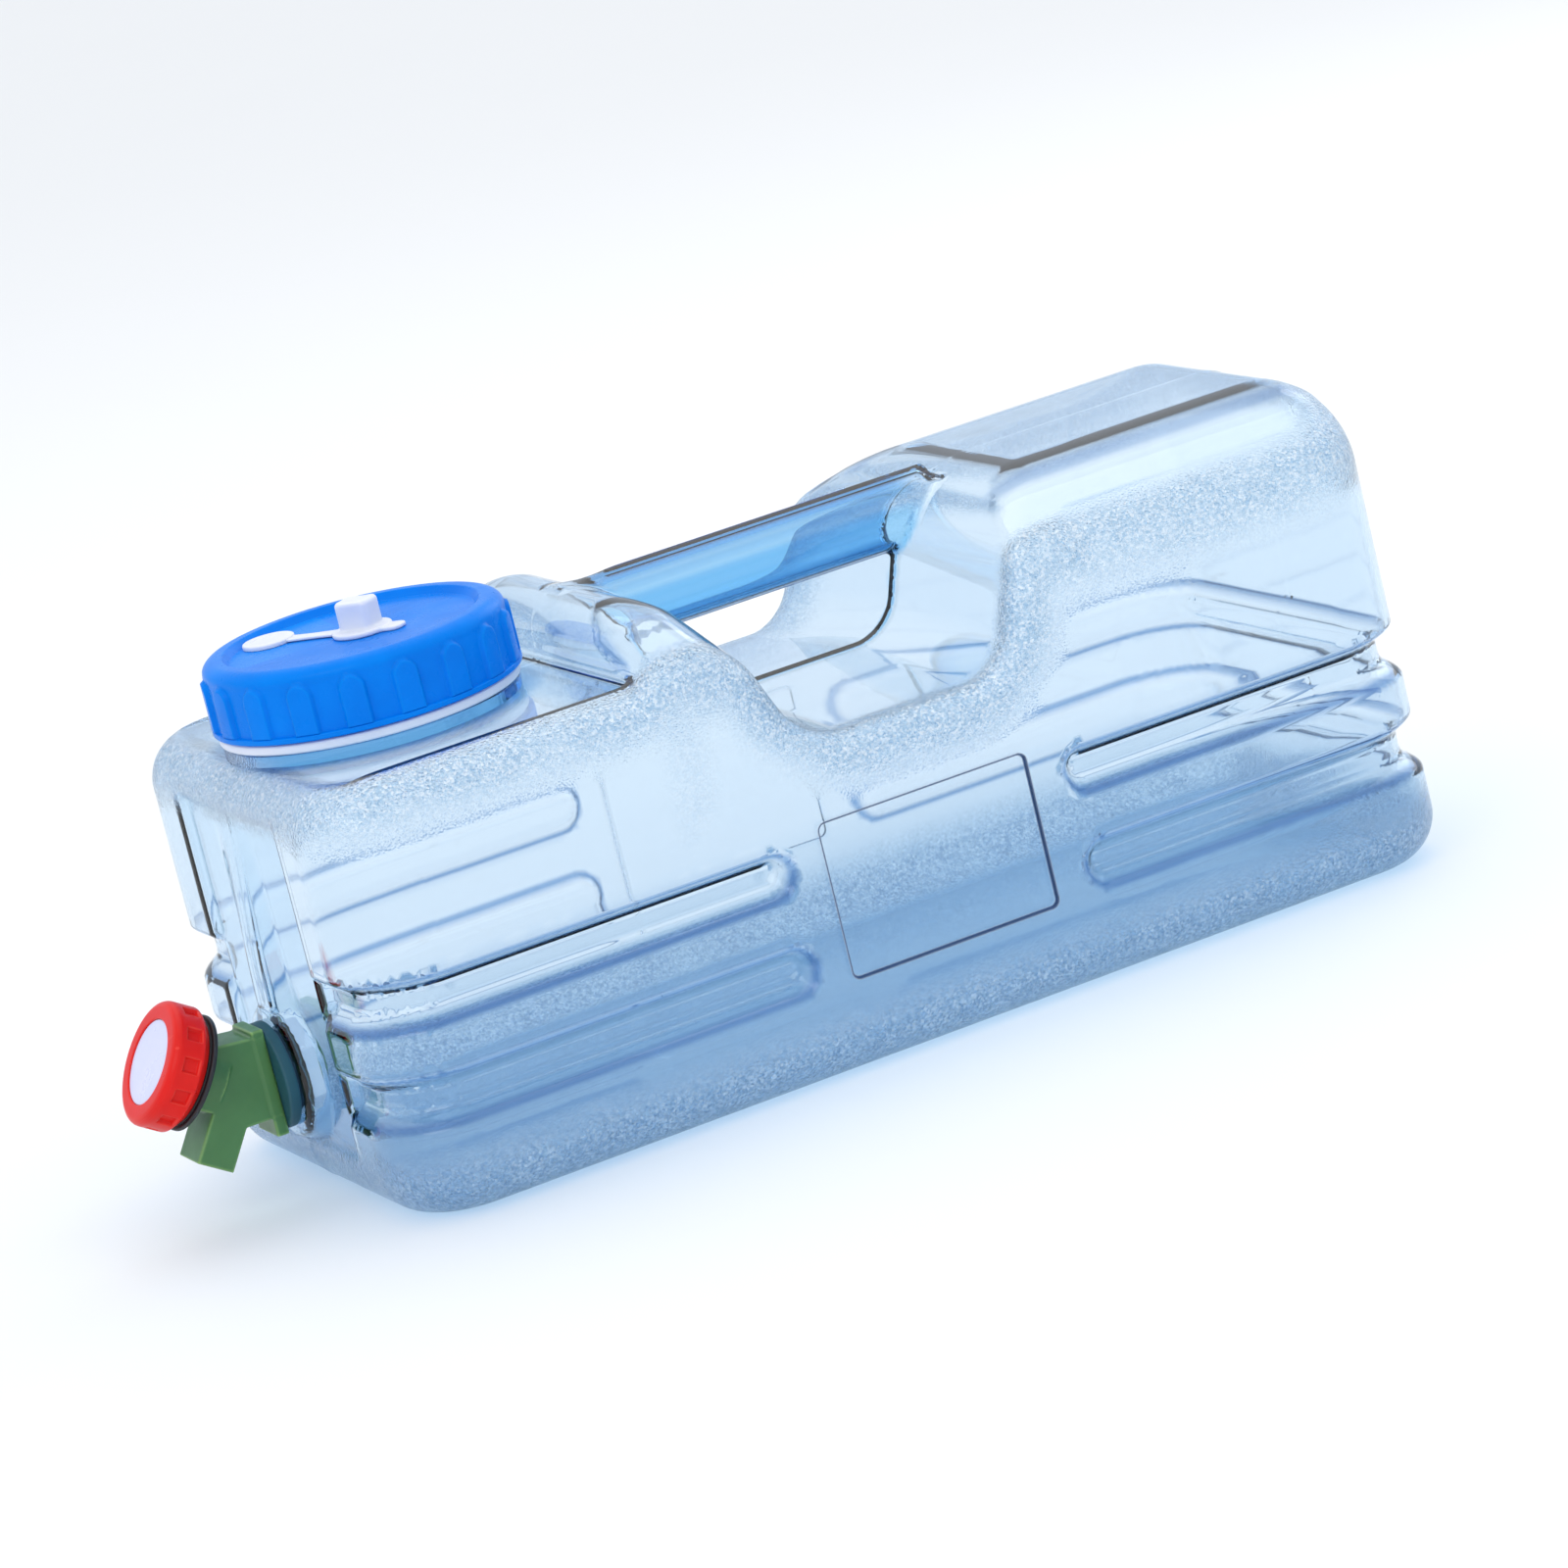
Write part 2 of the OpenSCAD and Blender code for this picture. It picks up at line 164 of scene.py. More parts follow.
def level_set(fn, lo, hi, h, newton=3):
    """Meshes fn = 0 on a grid of step h, then slides each corner onto the true surface."""
    ax = [np.arange(lo[i], hi[i] + h, h, dtype=f4) for i in range(3)]
    n = [len(a) for a in ax]
    v = np.empty(n, f4)
    step = max(1, 1_500_000 // (n[1] * n[2]))
    for i in range(0, n[0], step):
        X, Y, Z = np.meshgrid(ax[0][i:i + step], ax[1], ax[2], indexing="ij")
        v[i:i + step] = fn(X, Y, Z)
    s = v < 0
    corner = [(i, j, k) for i in (0, 1) for j in (0, 1) for k in (0, 1)]

    def at(a, c):
        return a[c[0]:n[0] - 1 + c[0], c[1]:n[1] - 1 + c[1], c[2]:n[2] - 1 + c[2]]

    total = sum(at(s, c).astype(np.int8) for c in corner)
    cells = np.argwhere((total > 0) & (total < 8))
    ids = np.full([m - 1 for m in n], -1, np.int64)
    ids[tuple(cells.T)] = np.arange(len(cells))
    acc = np.zeros((len(cells), 3))
    cnt = np.zeros(len(cells))
    for c in corner:
        for a in range(3):
            if c[a]:
                continue
            d = list(c); d[a] = 1
            p, q = cells + np.array(c), cells + np.array(d)
            vp, vq = v[tuple(p.T)], v[tuple(q.T)]
            cross = (vp < 0) != (vq < 0)
            t = np.where(cross, vp / np.where(vp == vq, 1, vp - vq), 0)
            pt = p + (q - p) * t[:, None]
            acc += pt * cross[:, None]
            cnt += cross
    pts = acc / cnt[:, None] * h + np.array(lo)
    quads = []
    for a in range(3):
        b, c = (a + 1) % 3, (a + 2) % 3
        sl0 = [slice(None)] * 3; sl1 = [slice(None)] * 3
        sl0[a] = slice(0, n[a] - 1); sl1[a] = slice(1, n[a])
        e = np.argwhere(s[tuple(sl0)] != s[tuple(sl1)])
        e = e[(e[:, b] > 0) & (e[:, c] > 0) & (e[:, b] < n[b] - 1) & (e[:, c] < n[c] - 1)]
        inside = s[tuple(e.T)]
        ob, oc = np.eye(3, dtype=int)[b], np.eye(3, dtype=int)[c]
        q = np.stack([ids[tuple((e - ob - oc).T)], ids[tuple((e - oc).T)], ids[tuple(e.T)], ids[tuple((e - ob).T)]], 1)
        q[~inside] = q[~inside][:, ::-1]
        quads.append(q)
    quads = np.concatenate(quads)
    for _ in range(newton):
        x, y, z = pts.T
        d0 = fn(x, y, z)
        g = np.stack([fn(x + 0.05, y, z) - d0, fn(x, y + 0.05, z) - d0, fn(x, y, z + 0.05) - d0], 1) / 0.05
        g2 = np.maximum((g * g).sum(1), 0.2)
        stepv = (d0 / g2)[:, None] * g
        ln = np.linalg.norm(stepv, axis=1, keepdims=True)
        stepv *= np.minimum(1, 0.6 * h / np.maximum(ln, 1e-9))
        pts = pts - stepv
    return pts, quads


def new_mesh(name, pts_mm, faces, smooth=True):
    me = bpy.data.meshes.new(name)
    me.vertices.add(len(pts_mm))
    me.vertices.foreach_set("co", (np.asarray(pts_mm, float) / 1000.0).ravel())
    if isinstance(faces, np.ndarray):
        k = faces.shape[1]
        me.loops.add(faces.size)
        me.polygons.add(len(faces))
        me.loops.foreach_set("vertex_index", faces.ravel().astype(np.int32))
        me.polygons.foreach_set("loop_start", np.arange(0, faces.size, k, dtype=np.int32))
    else:
        me.from_pydata([], [], [])
        flat = [i for f in faces for i in f]
        starts = np.cumsum([0] + [len(f) for f in faces[:-1]])
        me.loops.add(len(flat))
        me.polygons.add(len(faces))
        me.loops.foreach_set("vertex_index", flat)
        me.polygons.foreach_set("loop_start", starts.astype(np.int32))
    me.update(calc_edges=True)
    me.validate()
    if smooth:
        me.polygons.foreach_set("use_smooth", [True] * len(me.polygons))
    return me


def add(name, me):
    o = bpy.data.objects.new(name, me)
    bpy.context.scene.collection.objects.link(o)
    return o


def bake_modifiers(o):
    dg = bpy.context.evaluated_depsgraph_get()
    me = bpy.data.meshes.new_from_object(o.evaluated_get(dg), preserve_all_data_layers=True, depsgraph=dg)
    o.modifiers.clear()
    o.data = me
    return me


def boolean(o, tool, op="DIFFERENCE"):
    m = o.modifiers.new("b", "BOOLEAN")
    m.operation = op
    m.object = tool
    m.solver = "MANIFOLD"
    bake_modifiers(o)
    bpy.data.objects.remove(tool, do_unlink=True)


# ------------------------------------------------------------------ mesh helpers
def frame_at(origin, z_axis, x_axis):
    """4x4 matrix in millimetres of a local frame."""
    z = np.array(z_axis, float); z /= np.linalg.norm(z)
    x = np.array(x_axis, float); x -= z * x.dot(z); x /= np.linalg.norm(x)
    m = np.eye(4); m[:3, 0] = x; m[:3, 1] = np.cross(z, x); m[:3, 2] = z; m[:3, 3] = origin
    return m


def fillet(pts, r, k=4, closed=True):
    """Rounds the corners of a 2D outline."""
    out, n = [], len(pts)
    P = [np.array(p, float) for p in pts]
    for i, p in enumerate(P):
        ri = r[i] if hasattr(r, "__len__") else r
        if ri <= 0 or (not closed and i in (0, n - 1)):
            out.append(p); continue
        a, b = P[i - 1] - p, P[(i + 1) % n] - p
        la, lb = np.linalg.norm(a), np.linalg.norm(b)
        a, b = a / la, b / lb
        ang = math.acos(max(-1.0, min(1.0, float(a.dot(b)))))
        if math.pi - ang < 0.03:
            out.append(p); continue
        t = min(ri / math.tan(ang / 2), 0.48 * la, 0.48 * lb)
        rr = t * math.tan(ang / 2)
        bis = a + b
        c = p + bis / np.linalg.norm(bis) * rr / math.sin(ang / 2)
        v0, v1 = p + a * t - c, p + b * t - c
        a0, a1 = math.atan2(v0[1], v0[0]), math.atan2(v1[1], v1[0])
        da = (a1 - a0 + math.pi) % (2 * math.pi) - math.pi
        for j in range(k + 1):
            w = a0 + da * j / k
            out.append(c + rr * np.array([math.cos(w), math.sin(w)]))
    return out


def polar(name, P, closed, m=None):
    """A turned surface from rows of points P[row][column]; rows on the axis shrink to one point."""
    rows, cols = P.shape[:2]
    verts, ids = [], []
    for i in range(rows):
        if not closed and i in (0, rows - 1) and np.allclose(P[i], P[i][0], atol=1e-6):
            ids.append([len(verts)] * cols); verts.append(P[i][0])
        else:
            ids.append(list(range(len(verts), len(verts) + cols))); verts.extend(P[i])
    faces = []
    for i in range(rows if closed else rows - 1):
        A, B = ids[i], ids[(i + 1) % rows]
        for j in range(cols):
            k = (j + 1) % cols
            f = [A[j], A[k], B[k], B[j]]
            f = [v for q, v in enumerate(f) if v != f[q - 1]]
            if len(f) > 2:
                faces.append(f)
    v = np.array(verts, float)
    if m is not None:
        v = v @ m[:3, :3].T + m[:3, 3]
    o = add(name, new_mesh(name, v, faces))
    fix_normals(o)
    return o


def fix_normals(o):
    b = bmesh.new(); b.from_mesh(o.data)
    bmesh.ops.recalc_face_normals(b, faces=b.faces)
    if b.calc_volume(signed=True) < 0:
        bmesh.ops.reverse_faces(b, faces=b.faces)
    b.to_mesh(o.data); b.free()
    o.data.polygons.foreach_set("use_smooth", [True] * len(o.data.polygons))


def turned(name, profile, n=96, m=None, closed=True):
    t = np.arange(n) * 2 * math.pi / n
    P = np.array([[(r * math.cos(a), r * math.sin(a), z) for a in t] for r, z in profile])
    return polar(name, P, closed, m)


def weighted(o):
    w = o.modifiers.new("w", "WEIGHTED_NORMAL")
    w.mode = "FACE_AREA"; w.weight = 60
    bake_modifiers(o)


def helix(name, r0, r1, w0, w1, z0, turns, lead, phase, cx, n=90):
    """One ridge of a screw thread, closed at both ends."""
    N = int(n * turns)
    pts, faces = [], []
    for i in range(N + 1):
        a, z = phase + 2 * math.pi * i / n, z0 + lead * i / n
        f = max(0.12, min(1, i / 9, (N - i) / 9))
        q = r0 + (r1 - r0) * f
        for r, zz in ((r0, z - w0), (q - (q - r0) * 0.12, z - w1 - 0.12), (q, z - w1 + 0.15), (q, z + w1 - 0.15), (q - (q - r0) * 0.12, z + w1 + 0.12), (r0, z + w0)):
            pts.append((cx + r * math.cos(a), r * math.sin(a), zz))
    for i in range(N):
        for k in range(6):
            a, b = 6 * i + k, 6 * i + (k + 1) % 6
            faces.append((a, b, b + 6, a + 6))
    faces.append(tuple(range(6))); faces.append(tuple(6 * N + k for k in range(5, -1, -1)))
    o = add(name, new_mesh(name, pts, faces)); fix_normals(o)
    return o


def mesh_stats(o):
    b = bmesh.new(); b.from_mesh(o.data)
    tris = sum(len(f.verts) - 2 for f in b.faces)
    print(o.name, "open edges", sum(1 for e in b.edges if not e.is_manifold), "tris", tris, "volume cm3", round(b.calc_volume(signed=True) * 1e6, 1), "t", round(time.time() - T0, 1))
    b.free()


def thin_out(o, target):
    tris = sum(len(p.vertices) - 2 for p in o.data.polygons)
    if tris <= target:
        return
    m = o.modifiers.new("d", "DECIMATE"); m.ratio = target / tris
    bake_modifiers(o)


def onto(o, fn, steps=2, cap=0.5):
    """Slides each corner back onto the true surface fn = 0."""
    me = o.data
    c = np.empty(len(me.vertices) * 3); me.vertices.foreach_get("co", c)
    p = c.reshape(-1, 3) * 1000
    for _ in range(steps):
        x, y, z = p.T
        d0 = fn(x, y, z)
        g = np.stack([fn(x + 0.05, y, z) - d0, fn(x, y + 0.05, z) - d0, fn(x, y, z + 0.05) - d0], 1) / 0.05
        s = (d0 / np.maximum((g * g).sum(1), 0.3))[:, None] * g
        ln = np.linalg.norm(s, axis=1, keepdims=True)
        p = p - s * np.minimum(1, cap / np.maximum(ln, 1e-9))
    me.vertices.foreach_set("co", (p / 1000).ravel()); me.update()


def true_normals(o, fns, sharp=28.0):
    """Shades each face corner with the normal of the smooth surface it lies on. Corners of cut faces, which lie on no such surface, keep their own face's direction, so a sharp edge doesn't bend the light in the flat wall beside it."""
    me = o.data
    me.set_sharp_from_angle(angle=math.radians(sharp))
    n, nl, nf = len(me.vertices), len(me.loops), len(me.polygons)
    c = np.empty(n * 3); me.vertices.foreach_get("co", c)
    p = c.reshape(-1, 3) * 1000
    cn = np.empty(nl * 3); me.corner_normals.foreach_get("vector", cn)
    out = cn.reshape(-1, 3)
    lv = np.empty(nl, np.int32); me.loops.foreach_get("vertex_index", lv)
    pn = np.empty(nf * 3); me.polygons.foreach_get("normal", pn); pn = pn.reshape(-1, 3)
    tot = np.empty(nf, np.int32); me.polygons.foreach_get("loop_total", tot)
    fnorm = np.repeat(pn, tot, 0)
    for fn, sign in fns:
        x, y, z = p.T
        d0 = fn(x, y, z)
        e = 0.4
        g = np.stack([fn(x + e, y, z) - fn(x - e, y, z), fn(x, y + e, z) - fn(x, y - e, z), fn(x, y, z + e) - fn(x, y, z - e)], 1)
        g = sign * g / np.maximum(np.linalg.norm(g, axis=1, keepdims=True), 1e-9)
        ok = (np.abs(d0[lv]) < 0.12) & ((g[lv] * fnorm).sum(1) > 0.86)
        out[ok] = g[lv][ok]
    me.normals_split_custom_set(out.tolist())


# ------------------------------------------------------------------ jug body
ha, hb = ((2.0, 3.0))
ny = int(112 / ha) + 1
pts, quads = level_set(outer_d, (-240, -(ny + 0.5) * ha, -6), (236, 112, 203), ha)
body = add("jug_body_shell", new_mesh("jug_body_shell", pts, quads))
thin_out(body, 112_000); onto(body, outer_d)
mesh_stats(body)
pts, quads = level_set(cavity_d, (-246, -112, -6), (236, 112, 199), hb)
cav = add("cavity", new_mesh("cavity", pts, quads))
thin_out(cav, 60_000); onto(cav, cavity_d)
mesh_stats(cav)
NC = 128
# neck wall with its lower bead, and the two-start thread
ring = turned("neck", fillet([(50.9, 164.0), (57.6, 164.0), (57.6, 172.2), (54.0, 172.2), (54.0, 195.6), (50.9, 195.6)], [0, 0, 0.8, 0.5, 0.9, 0]), NC, frame_at((LX, 0, 0), (0, 0, 1), (1, 0, 0)))
boolean(body, ring, "UNION")
for s in range(2):
    boolean(body, helix("thread", 53.6, 55.7, 1.5, 0.7, 180.2, 0.9, 12.0, math.pi * s, LX), "UNION")
# label recess, crisp on both sides
for s in (-1, 1):
    lab = fillet([(-38.5, 37.3), (50.2, 37.3), (50.2, 98.6), (-38.5, 98.6)], 3.0, 6)
    k = len(lab)
    y0, y1 = s * (HY - 1.6), s * (HY + 6)
    v = [(q[0], y0, q[1]) for q in lab] + [(q[0], y1, q[1]) for q in lab]
    f = [tuple(range(k)), tuple(range(2 * k - 1, k - 1, -1))] + [(i, (i + 1) % k, k + (i + 1) % k, k + i) for i in range(k)]
    t = add("lab", new_mesh("lab", v, f)); fix_normals(t); boolean(body, t)
boolean(body, cav)
bore = turned("bore", [(0, 158.0), (51.4, 158.0), (51.4, 210.0), (0, 210.0)], NC, frame_at((LX, 0, 0), (0, 0, 1), (1, 0, 0)), closed=False)
boolean(body, bore)
hole = turned("hole", [(0, 0), (10.4, 0), (10.4, 22), (0, 22)], 64, frame_at((-240, 0, TAP_Z), (1, 0, 0), (0, 1, 0)), closed=False)
boolean(body, hole)
mesh_stats(body)
true_normals(body, ((outer_d, 1.0), (cavity_d, -1.0)))

me = body.data
c = np.empty(len(me.vertices) * 3); me.vertices.foreach_get("co", c)
X, Y, Z = (c.reshape(-1, 3) * 1000).T
T = tops(X, Y, Z)
frost = sstep(-27, -7, T) * sstep(-20, -7, plan_d(X, Y)) * (1 - 0.85 * sstep(-4, 0, T) * sstep(-9, -14, plan_d(X, Y)))
frost = np.maximum(frost, 0.85 * sstep(-30, -12, -Z) * sstep(-20, -8, plan_d(X, Y)))
frost *= 1 - sstep(172.5, 174, Z) * (np.hypot(X - LX, Y) < 60)
at = me.attributes.new("frost", "FLOAT", "POINT")
at.data.foreach_set("value", frost.astype(np.float32))
# painted shade: a deeper blue painted where the clear plastic looks darkest, on the handle bar, the rims of the saddle,
# the foot of the neck, the parting line round the hand gap and the end panel; a band along the upper side of the bar is
# left paler as a painted highlight
bar = sstep(3.5, 0.6, np.abs(np.sqrt(Y * Y + (Z - BAR_Z) ** 2) - BAR_R)) * sstep(-72, -58, X) * sstep(80, 66, X) * (np.abs(Y) < 15.5)
foot = sstep(10.0, 1.0, np.abs(np.hypot(X - LX, Y) - 59.5)) * sstep(162, 167, Z) * sstep(196, 186, Z)
rim = sstep(0.0, 1.0, np.clip(1 - np.abs(T) / 7.0, 0, 1)) * sstep(-12, -4, plan_d(X, Y)) * sstep(-62, -48, X) * sstep(60, 40, X) * 0.5
seam = sstep(2.9, 1.9, np.abs(Y)) * sstep(120, 127, Z) * sstep(-62, -50, X) * sstep(92, 80, X)
up = (Z - BAR_Z) / np.maximum(np.sqrt(Y * Y + (Z - BAR_Z) ** 2), 1)
panel = 0.30 * sstep(56, 48, np.abs(Y)) * sstep(14, 22, Z) * sstep(158, 150, Z) * sstep(-216, -222, X)
deep = np.maximum(np.maximum(np.maximum(bar * (1 - 0.85 * np.exp(-((up - 0.45) / 0.13) ** 2)), 0.75 * foot), rim), np.maximum(seam, panel))
at = me.attributes.new("deep", "FLOAT", "POINT")
at.data.foreach_set("value", deep.astype(np.float32))
# painted shade, inkier still: near-navy painted round the foot of the neck, along the bottom front edge, on the top and
# bottom of the handle bar and at the lips of the grooves, with a painted reflection on the rear block's creases
ring = np.hypot(X - LX, Y)
painted_dark_shade = sstep(67.0, 59.0, ring) * sstep(165.5, 167.5, Z) * sstep(177.5, 175.5, Z)
painted_dark_shade = np.maximum(painted_dark_shade, 0.6 * bar * sstep(0.80, 0.97, np.abs(up)))
painted_dark_shade = np.maximum(painted_dark_shade, 0.8 * sstep(26, 6, Z) * sstep(-198, -212, X) * sstep(-14, -4, plan_d(X, Y)))
painted_dark_shade = np.maximum(painted_dark_shade, 0.45 * sstep(7, 3, np.abs(np.abs(Y) - 62)) * sstep(183, 188, Z) * sstep(62, 72, X))
for zt, zm, zb in ((95.0, 86.0, 72.5), (58.5, 47.5, 34.5)):
    for xe, sd in ((-49.5, -1), (63.5, 1)):
        g = stadium(X, Z, xe, sd, zt, zm, zb, 1.0) * (X * sd > 0)
        lip = sstep(0.0, 0.10, g) * sstep(0.55, 0.20, g) * (1 - (1 - sstep(47, 54, np.abs(Y))) * (X < -195))
        painted_dark_shade = np.maximum(painted_dark_shade, 0.8 * lip * sstep(-14, -9, plan_d(X, Y)))
at = me.attributes.new("painted_dark_shade", "FLOAT", "POINT")
at.data.foreach_set("value", painted_dark_shade.astype(np.float32))
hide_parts("jug_body"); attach(body, "jug")
# ------------------------------------------------------------------ materials
class Nodes:
    """A small helper to lay out a material's nodes."""

    def __init__(self, name):
        self.m = bpy.data.materials.new(name)
        self.m.use_nodes = True
        self.t = self.m.node_tree
        self.t.nodes.clear()
        self.out = self.t.nodes.new("ShaderNodeOutputMaterial")
        self.co = self.t.nodes.new("ShaderNodeTexCoord").outputs["Object"]

    def node(self, kind, **props):
        n = self.t.nodes.new("ShaderNode" + kind)
        for k, v in props.items():
            setattr(n, k, v)
        return n

    def link(self, a, b):
        self.t.links.new(a, b)

    def noise(self, scale, detail=3.0, rough=0.55, co=None, stretch=None):
        n = self.node("TexNoise")
        n.inputs["Scale"].default_value = scale
        n.inputs["Detail"].default_value = detail
        n.inputs["Roughness"].default_value = rough
        src = co or self.co
        if stretch:
            mp = self.node("Mapping"); mp.inputs["Scale"].default_value = stretch
            self.link(src, mp.inputs["Vector"]); src = mp.outputs["Vector"]
        self.link(src, n.inputs["Vector"])
        return n.outputs["Fac"]

    def range(self, v, a, b, lo, hi):
        n = self.node("MapRange")
        n.inputs["From Min"].default_value = a; n.inputs["From Max"].default_value = b
        n.inputs["To Min"].default_value = lo; n.inputs["To Max"].default_value = hi
        self.link(v, n.inputs["Value"])
        return n.outputs["Result"]

    def math(self, op, a, b):
        n = self.node("Math", operation=op)
        for i, v in enumerate((a, b)):
            if isinstance(v, (int, float)):
                n.inputs[i].default_value = v
            else:
                self.link(v, n.inputs[i])
        return n.outputs[0]

    def mix(self, fac, a, b):
        n = self.node("Mix", data_type="RGBA")
        self.link(fac, n.inputs[0])
        for i, v in ((6, a), (7, b)):
            if isinstance(v, tuple):
                n.inputs[i].default_value = (*v, 1)
            else:
                self.link(v, n.inputs[i])
        return n.outputs[2]

    def bump(self, height, strength, dist, normal=None):
        n = self.node("Bump")
        n.inputs["Distance"].default_value = dist
        if isinstance(strength, (int, float)):
            n.inputs["Strength"].default_value = strength
        else:
            self.link(strength, n.inputs["Strength"])
        self.link(height, n.inputs["Height"])
        if normal:
            self.link(normal, n.inputs["Normal"])
        return n.outputs["Normal"]


def plastic(name, rgb, dark, rough=(0.28, 0.42), grain=900.0, grain_depth=0.00004, flow=0.0, sss=0.0, sss_rgb=(1, 1, 1), coat=0.0, ior=1.49, edge_highlight=0.0, light=(1, 1, 1), spec=0.5):
    """Moulded plastic: slow colour drift, fine moulded grain, uneven gloss and a painted highlight that lightens the
    convex edges.
    """
    k = Nodes(name)
    drift = k.noise(34.0, 4.0, 0.6)
    col = k.mix(k.range(drift, 0.3, 0.72, 0.0, 1.0), rgb, dark)
    # painted highlight: convex edges, found by pointiness, are lightened towards the light colour
    if edge_highlight:
        g = k.node("NewGeometry")
        edge = k.range(g.outputs["Pointiness"], 0.505, 0.56, 0.0, edge_highlight)
        col = k.mix(edge, col, light)
    p = k.node("BsdfPrincipled")
    k.link(col, p.inputs["Base Color"])
    k.link(k.range(k.noise(70.0, 5.0, 0.65), 0.3, 0.75, rough[0], rough[1]), p.inputs["Roughness"])
    n = k.bump(k.noise(grain, 2.0, 0.5), 0.35, grain_depth)
    if flow:
        n = k.bump(k.noise(24.0, 2.0, 0.5, stretch=(1, 1, 3)), flow, 0.0004, n)
    k.link(n, p.inputs["Normal"])
    p.inputs["IOR"].default_value = ior
    p.inputs["Coat Weight"].default_value = coat
    p.inputs["Specular IOR Level"].default_value = spec
    if sss:
        p.inputs["Subsurface Weight"].default_value = sss
        p.inputs["Subsurface Radius"].default_value = sss_rgb
        p.inputs["Subsurface Scale"].default_value = 0.004
    k.link(p.outputs[0], k.out.inputs["Surface"])
    return k.m


def clear_blue():
    """Blow-moulded clear blue plastic, 2.4 mm thick, with sparkling frosted bands along its edges."""
    k = Nodes("clear_blue_plastic")
    fr = k.node("Attribute", attribute_name="frost").outputs["Fac"]
    deep = k.node("Attribute", attribute_name="deep").outputs["Fac"]
    painted_dark_shade = k.node("Attribute", attribute_name="painted_dark_shade").outputs["Fac"]
    patch = k.noise(46.0, 4.0, 0.6)
    fr = k.math("MULTIPLY", fr, k.range(patch, 0.28, 0.55, 0.6, 1.0))
    # painted shade: a dark line painted along the cut edge of the label recess, found by its own distance in the part's
    # space, full on the -Y side and faint on the far side; it also lets less light through
    sep = k.node("SeparateXYZ"); k.link(k.co, sep.inputs[0])
    qx = k.math("SUBTRACT", k.math("ABSOLUTE", k.math("SUBTRACT", sep.outputs["X"], 0.00585), 0.0), 0.04135)
    qz = k.math("SUBTRACT", k.math("ABSOLUTE", k.math("SUBTRACT", sep.outputs["Z"], 0.06795), 0.0), 0.02765)
    px, pz = k.math("MAXIMUM", qx, 0.0), k.math("MAXIMUM", qz, 0.0)
    out = k.math("SQRT", k.math("ADD", k.math("MULTIPLY", px, px), k.math("MULTIPLY", pz, pz)), 0.0)
    dist = k.math("SUBTRACT", k.math("ADD", out, k.math("MINIMUM", k.math("MAXIMUM", qx, qz), 0.0)), 0.003)
    recess_edge_shade = k.range(k.math("ABSOLUTE", dist, 0.0), 0.0003, 0.00085, 1.0, 0.0)
    recess_edge_shade = k.math("MULTIPLY", recess_edge_shade, k.range(k.math("ABSOLUTE", sep.outputs["Y"], 0.0), 0.1018, 0.1026, 0.0, 1.0))
    recess_edge_shade = k.math("MULTIPLY", recess_edge_shade, k.range(sep.outputs["Y"], -0.05, 0.05, 1.0, 0.12))
    # stipple: each small cell of the frosted skin is a little lighter or bluer than the next
    grit = k.node("TexVoronoi", feature="F1")
    grit.inputs["Scale"].default_value = 1050.0
    k.link(k.co, grit.inputs["Vector"])
    cell = k.node("SeparateColor"); k.link(grit.outputs["Color"], cell.inputs[0])
    speck = k.mix(k.range(cell.outputs[0], 0.25, 0.8, 0.0, 1.0), (0.50, 0.66, 0.79), (0.94, 0.97, 0.99))
    # painted shade: the deep mask tints the plastic towards a darker blue
    col = k.mix(deep, (0.925, 0.956, 0.978), (0.30, 0.66, 0.92))
    # painted shade: dark lines in near-navy
    col = k.mix(painted_dark_shade, col, (0.05, 0.27, 0.60))
    # painted shade: the plastic and its frosted specks are painted darker and greyer towards the bottom
    low_shade = k.range(sep.outputs["Z"], 0.0, 0.046, 1.0, 0.0)
    col = k.mix(k.math("MULTIPLY", low_shade, 0.88), col, (0.42, 0.61, 0.745))
    speck = k.mix(k.math("MULTIPLY", low_shade, 0.9), speck, k.mix(k.range(cell.outputs[0], 0.25, 0.8, 0.0, 1.0), (0.17, 0.33, 0.50), (0.56, 0.74, 0.87)))
    col = k.mix(fr, col, speck)
    # painted shade along the label recess edge
    col = k.mix(recess_edge_shade, col, (0.035, 0.07, 0.16))
    p = k.node("BsdfPrincipled")
    k.link(col, p.inputs["Base Color"])
    clear = k.math("SUBTRACT", 1.0, k.math("MULTIPLY", fr, k.range(cell.outputs[1], 0.1, 0.9, 0.08, 0.52)))
    k.link(k.math("MULTIPLY", clear, k.range(recess_edge_shade, 0.0, 1.0, 1.0, 0.25)), p.inputs["Transmission Weight"])
    p.inputs["IOR"].default_value = 1.52
    k.link(k.math("ADD", k.math("MULTIPLY", fr, 0.22), k.range(k.noise(30.0, 3.0), 0.3, 0.8, 0.008, 0.028)), p.inputs["Roughness"])
    n = k.bump(k.noise(20.0, 2.0, 0.45), 0.20, 0.0009)
    n = k.bump(grit.outputs["Distance"], k.math("MULTIPLY", fr, 0.8), 0.00048, n)
    k.link(n, p.inputs["Normal"])
    tr = k.node("BsdfTransparent"); tr.inputs["Color"].default_value = (0.94, 0.97, 0.99, 1)
    lp = k.node("LightPath")
    mx = k.node("MixShader")
    k.link(k.math("MAXIMUM", lp.outputs["Is Shadow Ray"], lp.outputs["Is Diffuse Ray"]), mx.inputs[0])
    k.link(p.outputs[0], mx.inputs[1]); k.link(tr.outputs[0], mx.inputs[2])
    k.link(mx.outputs[0], k.out.inputs["Surface"])
    v = k.node("VolumeAbsorption")
    v.inputs["Color"].default_value = (0.0, 0.44, 0.76, 1)
    v.inputs["Density"].default_value = 58.0
    k.link(v.outputs[0], k.out.inputs["Volume"])
    return k.m


